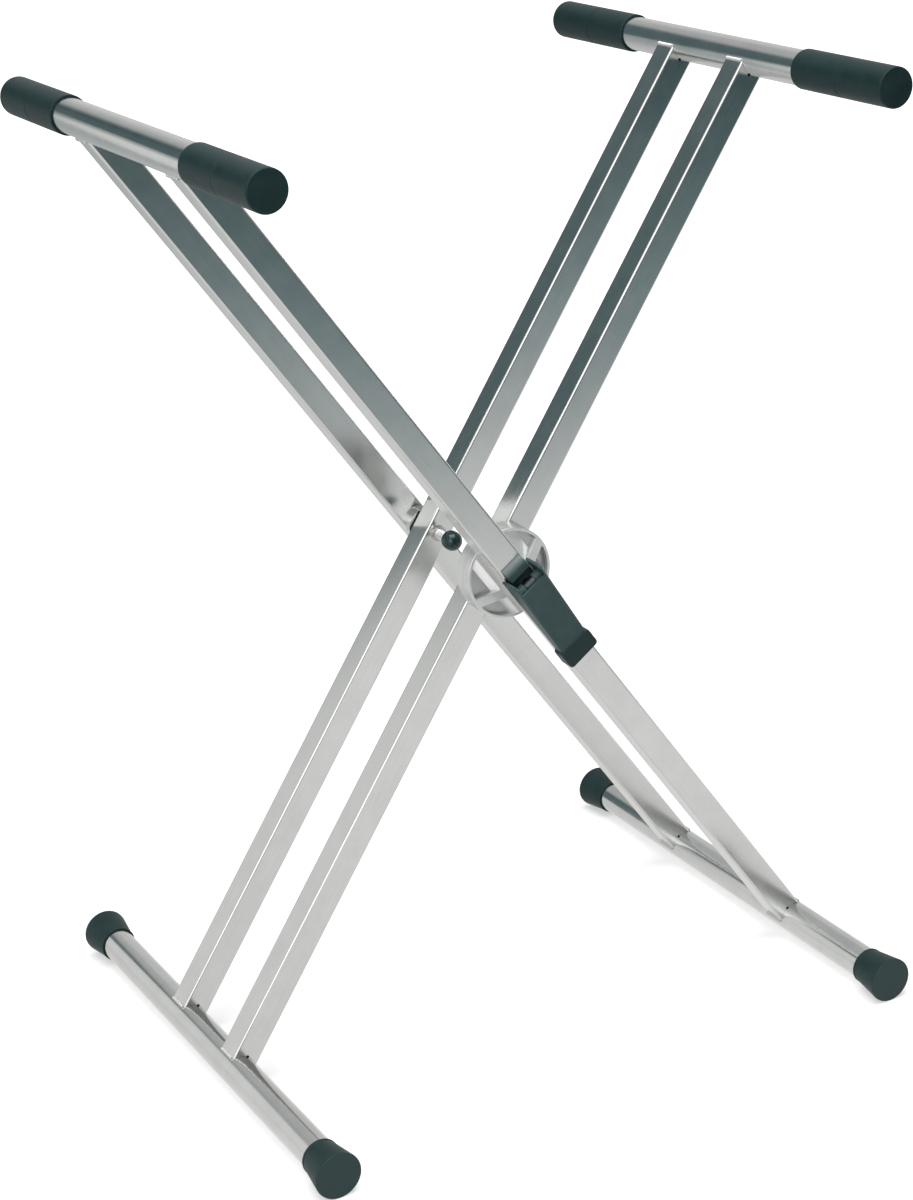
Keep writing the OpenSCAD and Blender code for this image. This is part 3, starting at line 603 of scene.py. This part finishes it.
def arc(radius, start, end, steps):
    """Points on a circle about the origin, from one angle to another."""
    angles = [start + (end - start) * k / steps for k in range(steps + 1)]
    return [Vector((radius * cos(angle), radius * sin(angle))) for angle in angles]


def pocket(side, upper):
    """The outline of a disc's pocket, seen from the front, on one side of the land."""
    reach = DISC_RADIUS - DISC_RIM
    offset = RIB_WIDTH / 2 / cos(RIB_SLANT) * (1 if upper else -1) - RIB_DROP
    slope = tan(RIB_SLANT)
    swing = 1 + slope ** 2
    x = (-slope * offset + sqrt(slope ** 2 * offset ** 2 - swing * (offset ** 2 - reach ** 2))) / swing
    rim_angle = atan2(offset + slope * x, x)
    land_angle = acos(POCKET_EDGE / reach) * (1 if upper else -1)
    outline = arc(reach, rim_angle, land_angle, 14) + [Vector((POCKET_EDGE, offset + slope * POCKET_EDGE))]
    outline = [Vector((side * p.x, p.y)) for p in outline]
    outline = eased(outline, POCKET_ROUND)
    area = sum(a.cross(b) for a, b in zip(outline, outline[1:] + outline[:1]))
    return outline if area < 0 else outline[::-1]


def joined(name, pieces):
    """One object of several pieces' meshes."""
    shape = bmesh.new()
    for piece in pieces:
        shape.from_mesh(piece.data)
        bpy.data.objects.remove(piece)
    mesh = bpy.data.meshes.new(name)
    shape.to_mesh(mesh)
    shape.free()
    whole = bpy.data.objects.new(name, mesh)
    bpy.context.scene.collection.objects.link(whole)
    return whole


def lofted(name, sections):
    """A closed piece through sections of equally many points."""
    points = [p for section in sections for p in section]
    size = len(sections[0])
    faces = [(r * size + k, r * size + (k + 1) % size, (r + 1) * size + (k + 1) % size, (r + 1) * size + k)
             for r in range(len(sections) - 1) for k in range(size)]
    faces += [tuple(range(size)), tuple(range((len(sections) - 1) * size, len(sections) * size))]
    piece = new_piece(name, points, faces)
    outward(piece)
    return piece


teeth_tree, teeth_in, teeth_out = node_group("ring_of_teeth", [
    ("Teeth", "NodeSocketInt"), ("Step", "NodeSocketFloat"), ("Phase", "NodeSocketFloat"),
    ("Finish", "NodeSocketMaterial")])
spots = add_node(teeth_tree, "GeometryNodePoints", {"Count": teeth_in.outputs["Teeth"]})
count = add_node(teeth_tree, "GeometryNodeInputIndex")
angle = add_node(teeth_tree, "ShaderNodeMath", {
    0: count.outputs[0], 1: teeth_in.outputs["Step"], 2: teeth_in.outputs["Phase"]}, operation="MULTIPLY_ADD")
about = add_node(teeth_tree, "ShaderNodeCombineXYZ", {"Y": angle.outputs[0]})
spin = add_node(teeth_tree, "FunctionNodeEulerToRotation", {0: about.outputs[0]})
ring = add_node(teeth_tree, "GeometryNodeInstanceOnPoints", {
    "Points": spots.outputs[0], "Rotation": spin.outputs[0], "Instance": teeth_in.outputs["Geometry"]})
solid = add_node(teeth_tree, "GeometryNodeRealizeInstances", {"Geometry": ring.outputs[0]})
painted = add_node(teeth_tree, "GeometryNodeSetMaterial", {
    "Geometry": solid.outputs[0], "Material": teeth_in.outputs["Finish"]})
teeth_tree.links.new(painted.outputs[0], teeth_out.inputs[0])

cast_metal, tree, cast, place = new_material("cast_metal")
cast.inputs["Metallic"].default_value = CAST_METALLIC
sand = speckled(tree, place, scale=420.0, detail=6.0, roughness=0.6)
blotch = speckled(tree, place, scale=60.0, detail=3.0)
middle = (PIVOT.x, DISC_MIDDLE_Y, PIVOT.z)
split = split_place(tree, add_node(tree, "ShaderNodeVectorMath", {0: place, 1: middle},
                                   operation="SUBTRACT").outputs[0])
across = add_node(tree, "ShaderNodeCombineXYZ", {"X": split["X"], "Z": split["Z"]}).outputs[0]
out = add_node(tree, "ShaderNodeVectorMath", {0: across}, operation="LENGTH").outputs["Value"]
deep = add_node(tree, "ShaderNodeMath", {0: split["Y"]}, operation="ABSOLUTE").outputs[0]
# Painted shade: inside the rim, the pocket floors and all of the disc behind them, teeth too, turn darker.
within = ranged(tree, out, DISC_RADIUS - DISC_RIM + WALL_BLEND, DISC_RADIUS - DISC_RIM)
painted_shade = sums(tree, "MULTIPLY", within, ranged(tree, deep, *PAINTED_SHADE_DEPTHS))
tree.links.new(blended(tree, painted_shade, two_toned(tree, blotch, CAST_DARK, CAST_LIGHT), CAST_PAINTED_SHADE),
               cast.inputs["Base Color"])
textured(tree, cast, sand, CAST_GLOSS, sand, strength=0.2, depth=0.00025)


def faded(finish, start, end, colour, most):
    """Turns a finish towards a colour between two places along the front leg."""
    tree = finish.node_tree
    skin_colour = tree.nodes["Principled BSDF"].inputs["Base Color"]
    place = add_node(tree, "ShaderNodeTexCoord").outputs["Object"]
    offset = add_node(tree, "ShaderNodeVectorMath", {0: place, 1: tuple(PIVOT)},
                      operation="SUBTRACT").outputs[0]
    along = add_node(tree, "ShaderNodeVectorMath", {0: offset, 1: tuple(OUTER.to_3x3().col[2])},
                     operation="DOT_PRODUCT").outputs["Value"]
    share = ranged(tree, along, start, end, 0.0, most)
    tree.links.new(blended(tree, share, skin_colour.links[0].from_socket, colour), skin_colour)
    return finish


# Painted highlight: the ramps turn near white along the front leg, with less metal in them.
ramp_highlight_metal = faded(cast_metal.copy(), *RAMP_HIGHLIGHT_FADE, RAMP_PAINTED_HIGHLIGHT, most=1.0)
ramp_highlight_metal.name = "ramp_highlight_metal"
ramp_highlight_metal.node_tree.nodes["Principled BSDF"].inputs["Metallic"].default_value = RAMP_HIGHLIGHT_METALLIC

tooth_half = TOOTH_RING * 2 * pi / TOOTH_COUNT * TOOTH_SHARE / 2
tooth_root, tooth_end, tooth_tip = TOOTH_HEIGHT / 4, DISC_RADIUS - TOOTH_HEIGHT, tooth_half * TIP_SHARE
tooth_section = [(-tooth_half, -tooth_root), (tooth_half, -tooth_root), (tooth_half, 0),
                 (tooth_tip, TOOTH_HEIGHT), (-tooth_tip, TOOTH_HEIGHT), (-tooth_half, 0)]
for side_name, place, front_y, facing, bore, phase in (
        ("outer", OUTER, OUTER_DISC_FRONT, 1, BOLT_BORE, 0.0),
        ("inner", INNER, INNER_DISC_BACK, -1, BUSH_BORE, -(pi / TOOTH_COUNT - 2 * TILT))):
    def on_disc(x, z, height):
        return place @ Vector((x, front_y + facing * height, z))
    hole = arc(bore, 0, -2 * pi, BORE_STEPS)[:-1]
    rim = arc(DISC_RADIUS, 0, 2 * pi, RIM_STEPS)[:-1]
    base = plate("base", [rim, hole], POCKET_DEPTH, DISC_BASE, BASE_EASE, on_disc)
    face = plate("face", [rim, hole] + [pocket(s, u) for s in (-1, 1) for u in (True, False)],
                 0.0, POCKET_DEPTH + OVERLAP, DISC_EASE, on_disc)
    tooth_points = [Vector((x, facing * (DISC_BASE + y), z)) for x in (TOOTH_RING, tooth_end)
                    for z, y in tooth_section]
    tooth_faces = [(k, (k + 1) % 6, (k + 1) % 6 + 6, k + 6) for k in range(6)]
    tooth = new_piece("tooth", tooth_points, tooth_faces + [tuple(range(6)), tuple(range(6, 12))])
    outward(tooth)
    teeth = grown(tooth, teeth_tree, {"Teeth": TOOTH_COUNT, "Step": 2 * pi / TOOTH_COUNT, "Phase": phase,
                                      "Finish": cast_metal})
    teeth.data.transform(place @ Matrix.Translation((0, front_y, 0)))
    inside = arc(DISC_RADIUS - LIP_WIDTH, 0, -2 * pi, RIM_STEPS)[:-1]
    lip = plate("lip", [rim, inside], DISC_BASE - OVERLAP, DISC_BASE + TOOTH_HEIGHT, LIP_EASE, on_disc)
    ramps = []
    for side, ramp_end in RAMP_ENDS.items():
        sections = []
        for z in [-row for row in RAMP_HALF_ROWS] + list(reversed(RAMP_HALF_ROWS)):
            end = min(ramp_end, sqrt(RAMP_REACH ** 2 - z ** 2))
            fall = RAMP_TOP + (POCKET_DEPTH - RAMP_TOP) * (end - POCKET_EDGE) / (ramp_end - POCKET_EDGE)
            back, under = POCKET_EDGE - RAMP_INTO, POCKET_DEPTH + RAMP_INTO
            sections.append([on_disc(side * x, z, y) for x, y in (
                (back, RAMP_TOP), (POCKET_EDGE, RAMP_TOP), (end, fall), (end, under), (back, under))])
        ramps.append(lofted("ramp", sections))
    ramp_faces = sum(len(ramp.data.polygons) for ramp in ramps)
    disc = softened(joined(side_name + "_toothed_disc", [base, face, teeth, lip] + ramps), 50)
    dress(disc, cast_metal, "cast_metal", side_name + "_frame", side_name + "_clamp_disc")
    disc.data.materials.append(ramp_highlight_metal)
    for ramp_face in disc.data.polygons[-ramp_faces:]:
        ramp_face.material_index = 1


# The saddle: a moulded black pad on the front leg, under the lever's cam. Its nose rises behind the lever's
# head and rounds down to the leg, and is painted paler towards its tip as painted light.
LEG_FACE_Y, SADDLE_HALF, SADDLE_T, SADDLE_EASE = -0.1045, 0.0107, 0.0025, 0.0006
SADDLE_TAIL, NOSE_START, NOSE_END, NOSE_HEIGHT, SADDLE_CHAMFER = -0.012, 0.013, 0.024, 0.0075, 0.0012
LEVER_PLASTIC, NOSE_PAINTED_LIGHT = (0.030, 0.054, 0.056), (0.22, 0.245, 0.245)
SADDLE_SHARE, NOSE_LIGHT_FADE, NOSE_TUCK, BORE_ABOVE, BORE_INTO = 0.8, 0.006, 0.0004, 0.004, 0.001


def on_leg_side(along, height, across):
    """A point by its place along the front leg, its height over the leg's front face and its place across."""
    return OUTER @ Vector((across, LEG_FACE_Y - height, along))


def cut_by(piece, cutter):
    """Cuts one closed piece out of another."""
    modifier = piece.modifiers.new("cut", "BOOLEAN")
    modifier.operation, modifier.object, modifier.solver = "DIFFERENCE", cutter, "EXACT"
    bpy.context.view_layer.update()
    result = bpy.data.meshes.new_from_object(piece.evaluated_get(bpy.context.evaluated_depsgraph_get()))
    piece.modifiers.remove(modifier)
    piece.data = result
    bpy.data.objects.remove(cutter)
    return piece


def straight_bore(radius, low, high):
    """A cutting rod along the pivot line."""
    return plate("bore", [arc(radius, 0, 2 * pi, BORE_STEPS)[:-1]], low, high, 0.0,
                 lambda x, z, y: OUTER @ Vector((x, y, z)), steps=1)


nose = [Vector((NOSE_END - (NOSE_END - NOSE_START) * (1 - sin(a)), NOSE_HEIGHT * cos(a)))
        for a in [radians(90 - 7.5 * k) for k in range(1, 13)]]
saddle_outline = [Vector((SADDLE_TAIL, 0)), Vector((NOSE_END, 0))] + nose + [
    Vector(p) for p in (
        (NOSE_START - NOSE_TUCK, NOSE_HEIGHT - NOSE_TUCK), (NOSE_START - SADDLE_CHAMFER, SADDLE_T),
        (SADDLE_TAIL + SADDLE_CHAMFER, SADDLE_T), (SADDLE_TAIL, SADDLE_T / 2))]
saddle = plate("cam_saddle", [saddle_outline], -SADDLE_HALF, SADDLE_HALF, SADDLE_EASE, on_leg_side)
cut_by(saddle, straight_bore(BOLT_BORE, LEG_FACE_Y - BORE_ABOVE, LEG_FACE_Y + BORE_INTO))
saddle_plastic = moulded("saddle_plastic", tuple(c * SADDLE_SHARE for c in LEVER_PLASTIC), roughness=0.38,
                         grain=1300.0, depth=0.0001)
# Painted light: the nose turns paler grey towards its tip.
faded(saddle_plastic, NOSE_END - NOSE_LIGHT_FADE, NOSE_END, NOSE_PAINTED_LIGHT, most=0.85)
softened(saddle, 35)
dress(saddle, saddle_plastic, "black_plastic", "outer_frame", "lever_saddle")


# The clamp lever: one black moulding that straddles the leg, with a rounded back that falls to a lip for the
# fingers, open at its head, where two cams turn on the bolt's pin. Its lip is painted darker, as painted
# shade.
LEVER_LEN, CHEEK_REACH, LIP_LEN = 0.097, 0.014, 0.019
HEAD_HEIGHT, TIP_HEIGHT, HEAD_ROUND, CROWN = 0.0210, 0.0036, 0.0047, 0.0005
CHEEK_IN, CHEEK_OUT, TIP_OUT, TIP_WALL = 0.0129, 0.0154, 0.0144, 0.0015
CHEEK_FOOT, TIP_FOOT, BACK_WALL, NOTCH, NOTCH_TOP = 0.0025, 0.0075, 0.0024, 0.00406, 0.02
TIP_SHOULDER, HEAD_SHOULDER = 0.0016, 0.0032
LIP_SIDE, LIP_FOOT, LIP_UP, LIP_ROUND, LIP_SOFT = 0.0022, 0.0022, 0.0012, 0.004, 0.0012
PIN_HEIGHT, PIN_BORE = 0.01045, 0.00305
CAM_RADIUS, CAM_OFFSET, CAM_INSIDE, CAM_OUTSIDE = 0.0064, 0.0012, 0.0054, 0.0135
CAM_EASE, CAM_STEPS, LIP_SHADE_FADE, LIP_SHADE_SHARE = 0.0003, 64, 0.0008, 0.5
CHANNEL_START, CHANNEL_END, CUT_REACH, CUT_SPARE = -0.11, -0.06, 0.03, 0.0002
CORNER_ROUND, EDGE_ROUND, FOOT_EDGE_ROUND = 0.0008, 0.0006, 0.0005
lip_start = LEVER_LEN - LIP_LEN
shell_end = -lip_start - LIP_LEN / 2


def between(value, low, high, at_low, at_high):
    """A size that changes evenly from one place to another."""
    share = min(1.0, max(0.0, (value - low) / (high - low)))
    return at_low + (at_high - at_low) * share


def lever_section(along):
    """The lever's section at one place along it: an upturned channel with round shoulders."""
    wide = between(along, shell_end, CHEEK_REACH, TIP_OUT, CHEEK_OUT)
    back = between(along, -lip_start, CHEEK_REACH - HEAD_ROUND, TIP_HEIGHT, HEAD_HEIGHT)
    if along > CHEEK_REACH - HEAD_ROUND:
        past = min(HEAD_ROUND, along - CHEEK_REACH + HEAD_ROUND)
        back = HEAD_HEIGHT - HEAD_ROUND + sqrt(max(0.0, HEAD_ROUND ** 2 - past ** 2))
    foot = -between(along, -lip_start, CHEEK_REACH, TIP_FOOT, CHEEK_FOOT)
    shoulder = between(along, -lip_start, 0, TIP_SHOULDER, HEAD_SHOULDER)
    under = back - BACK_WALL
    right = [(CHEEK_IN, under, CORNER_ROUND), (CHEEK_IN, foot, FOOT_EDGE_ROUND), (wide, foot, EDGE_ROUND),
             (wide, back, shoulder)]
    left = [(-x, y, size) for x, y, size in right[-2::-1]]
    points = eased(left + right + [(-wide, back, shoulder)], 0, steps=6)
    return [Vector((p.x, p.y + (CROWN * (1 - (p.x / wide) ** 2) if p.y > under + CORNER_ROUND else 0)))
            for p in points]


def over_leg(x, z, height):
    """A point by its place across the front leg, its place along it and its height over its front face."""
    return on_leg_side(z, height, x)


def channel_outline(low, high):
    """A box as wide as the lever's channel, between two places along the leg."""
    return [Vector(p) for p in ((-CHEEK_IN, low), (CHEEK_IN, low), (CHEEK_IN, high), (-CHEEK_IN, high))]


head_rows = [CHEEK_REACH - HEAD_ROUND * (1 - sin(pi / 2 * k / 10)) for k in range(1, 11)]
back_rows = [-lip_start + (CHEEK_REACH - HEAD_ROUND + lip_start) * k / 12 for k in range(1, 13)]
shell = lofted("shell", [[over_leg(p.x, along, p.y) for p in lever_section(along)]
                         for along in [shell_end, -lip_start] + back_rows + head_rows])
cut_by(shell, plate("notch", [channel_outline(NOTCH, NOTCH_TOP)], -CUT_SPARE, CUT_REACH, 0.0, over_leg,
                    steps=1))

lip_half = CHEEK_IN + TIP_WALL + LIP_SIDE
lip_outline = eased([(-lip_half, -LEVER_LEN), (lip_half, -LEVER_LEN), (lip_half, -lip_start),
                     (-lip_half, -lip_start)], LIP_ROUND, steps=8)
lip = plate("lip", [lip_outline], -TIP_FOOT - LIP_FOOT, TIP_HEIGHT + LIP_UP, LIP_SOFT, over_leg)
cut_by(lip, plate("channel", [channel_outline(CHANNEL_START, CHANNEL_END)], -CUT_REACH,
                  TIP_HEIGHT - BACK_WALL, 0.0, over_leg, steps=1))

cams = []
for side in (-1, 1):
    rounds = [arc(CAM_RADIUS, 0, 2 * pi, CAM_STEPS)[:-1], arc(PIN_BORE, 0, -2 * pi, BORE_STEPS)[:-1]]
    cams.append(plate("cam", rounds, CAM_INSIDE, CAM_OUTSIDE, CAM_EASE,
                      lambda y, z, across: on_leg_side(z, PIN_HEIGHT - CAM_OFFSET - y, side * across)))
lever = softened(joined("cam_lever", [shell, lip] + cams), 35)
lever_plastic = moulded("lever_plastic", LEVER_PLASTIC, roughness=0.42, grain=1100.0, depth=0.00012)
# Painted shade: the finger lip is painted darker than the lever's back.
faded(lever_plastic, -lip_start + LIP_SHADE_FADE, -lip_start - LIP_SHADE_FADE,
      tuple(c * LIP_SHADE_SHARE for c in LEVER_PLASTIC), most=1.0)
dress(lever, lever_plastic, "lever_plastic", "cam_lever", "clamp_lever")


# The clamp's steel: a draw bolt with an eye for the lever's pin, and a nut with its washer behind the inner
# leg. Bolt and pin are blackened, and the nut and washer are plated.
MARK_SPREAD = 0.06


def machined(name, light, dark, roughness, scale):
    """Turned or rolled steel with fine marks round it."""
    finish, tree, metal, place = new_material(name)
    metal.inputs["Metallic"].default_value = 1.0
    marks = speckled(tree, place, scale, detail=5.0)
    tree.links.new(two_toned(tree, marks, dark, light), metal.inputs["Base Color"])
    textured(tree, metal, marks, (roughness - MARK_SPREAD, roughness + MARK_SPREAD), marks, strength=0.15,
             depth=0.0001)
    return finish


bolt_steel = machined("bolt_steel", (0.60, 0.62, 0.63), (0.48, 0.50, 0.51), roughness=0.3, scale=700.0)
blackened_steel = machined("blackened_steel", (0.055, 0.065, 0.068), (0.03, 0.036, 0.038), roughness=0.4,
                           scale=600.0)
finish_node(blackened_steel, "clamp_bolt", "lever_pin")
finish_node(bolt_steel, "clamp_washer", "clamp_nut")


# The rear pivot: a shoulder bolt with a hexagon head and washer, a spacer between the two rear legs, and
# bearing bushes of nickel-plated brass pressed into the inner legs.
plated_brass = machined("plated_brass", (0.62, 0.61, 0.58), (0.50, 0.49, 0.46), roughness=0.33, scale=500.0)
finish_node(bolt_steel, "rear_pivot_bolt", "rear_bolt_washer")
finish_node(plated_steel("spacer_plating", (0, 0, 0), (1, 1, 1)), "rear_pivot_spacer")
finish_node(plated_brass, "front_pivot_bush", "rear_pivot_bush")


# The release spring: bright drawn wire coiled round the rear bolt, with its two end turns closed up. Geometry
# nodes draw the wire along its path.
SPRING_FRONT, SPRING_BACK, SPRING_RADIUS, WIRE_RADIUS = 0.0300, 0.0444, 0.0042, 0.0007
CURLS, END_TURNS, TURN_STEPS, WIRE_SIDES, CLOSED_RADII = 4.0, 0.75, 32, 16, 2.1
wire_tree, wire_in, wire_out = node_group("drawn_wire", [
    ("Wire radius", "NodeSocketFloat"), ("Sides", "NodeSocketInt"), ("Finish", "NodeSocketMaterial")])
path = add_node(wire_tree, "GeometryNodeMeshToCurve", {"Mesh": wire_in.outputs["Geometry"]})
section = add_node(wire_tree, "GeometryNodeCurvePrimitiveCircle", {
    "Radius": wire_in.outputs["Wire radius"], "Resolution": wire_in.outputs["Sides"]})
tube = add_node(wire_tree, "GeometryNodeCurveToMesh", {
    "Curve": path.outputs[0], "Profile Curve": section.outputs[0], "Fill Caps": True})
smooth = add_node(wire_tree, "GeometryNodeSetShadeSmooth", {"Geometry": tube.outputs[0]})
solid = add_node(wire_tree, "GeometryNodeRealizeInstances", {"Geometry": smooth.outputs[0]})
painted = add_node(wire_tree, "GeometryNodeSetMaterial", {
    "Geometry": solid.outputs[0], "Material": wire_in.outputs["Finish"]})
wire_tree.links.new(painted.outputs[0], wire_out.inputs[0])
turns, closed_pitch = CURLS + 2 * END_TURNS, CLOSED_RADII * WIRE_RADIUS
first, last = SPRING_FRONT + WIRE_RADIUS, SPRING_BACK - WIRE_RADIUS
open_pitch = (last - first - 2 * END_TURNS * closed_pitch) / CURLS
coil = []
for k in range(int(turns * TURN_STEPS) + 1):
    t = k / TURN_STEPS
    opened = max(0.0, min(t, turns - END_TURNS) - END_TURNS)
    rise = closed_pitch * (min(t, END_TURNS) + max(0.0, t - turns + END_TURNS)) + open_pitch * opened
    round_to = 2 * pi * t
    coil.append(OUTER @ Vector((SPRING_RADIUS * cos(round_to), first + rise, SPRING_RADIUS * sin(round_to))))
spring_steel = machined("spring_steel", (0.82, 0.83, 0.84), (0.7, 0.71, 0.72), roughness=0.22, scale=900.0)
spring = grown(new_piece("wound_spring", coil, [], [(k, k + 1) for k in range(len(coil) - 1)]), wire_tree,
               {"Wire radius": WIRE_RADIUS, "Sides": WIRE_SIDES, "Finish": spring_steel})
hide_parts("release_spring")
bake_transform(spring)


# The ball knob: a glossy black phenolic ball screwed on the thin end of the rear bolt, against the spring.
# The node of the part carries its shape.
knob_gloss = moulded("knob_gloss", (0.008, 0.018, 0.019), roughness=0.16, grain=300.0, depth=0.00003,
                     shine=0.5)
finish_node(knob_gloss, "ball_knob")
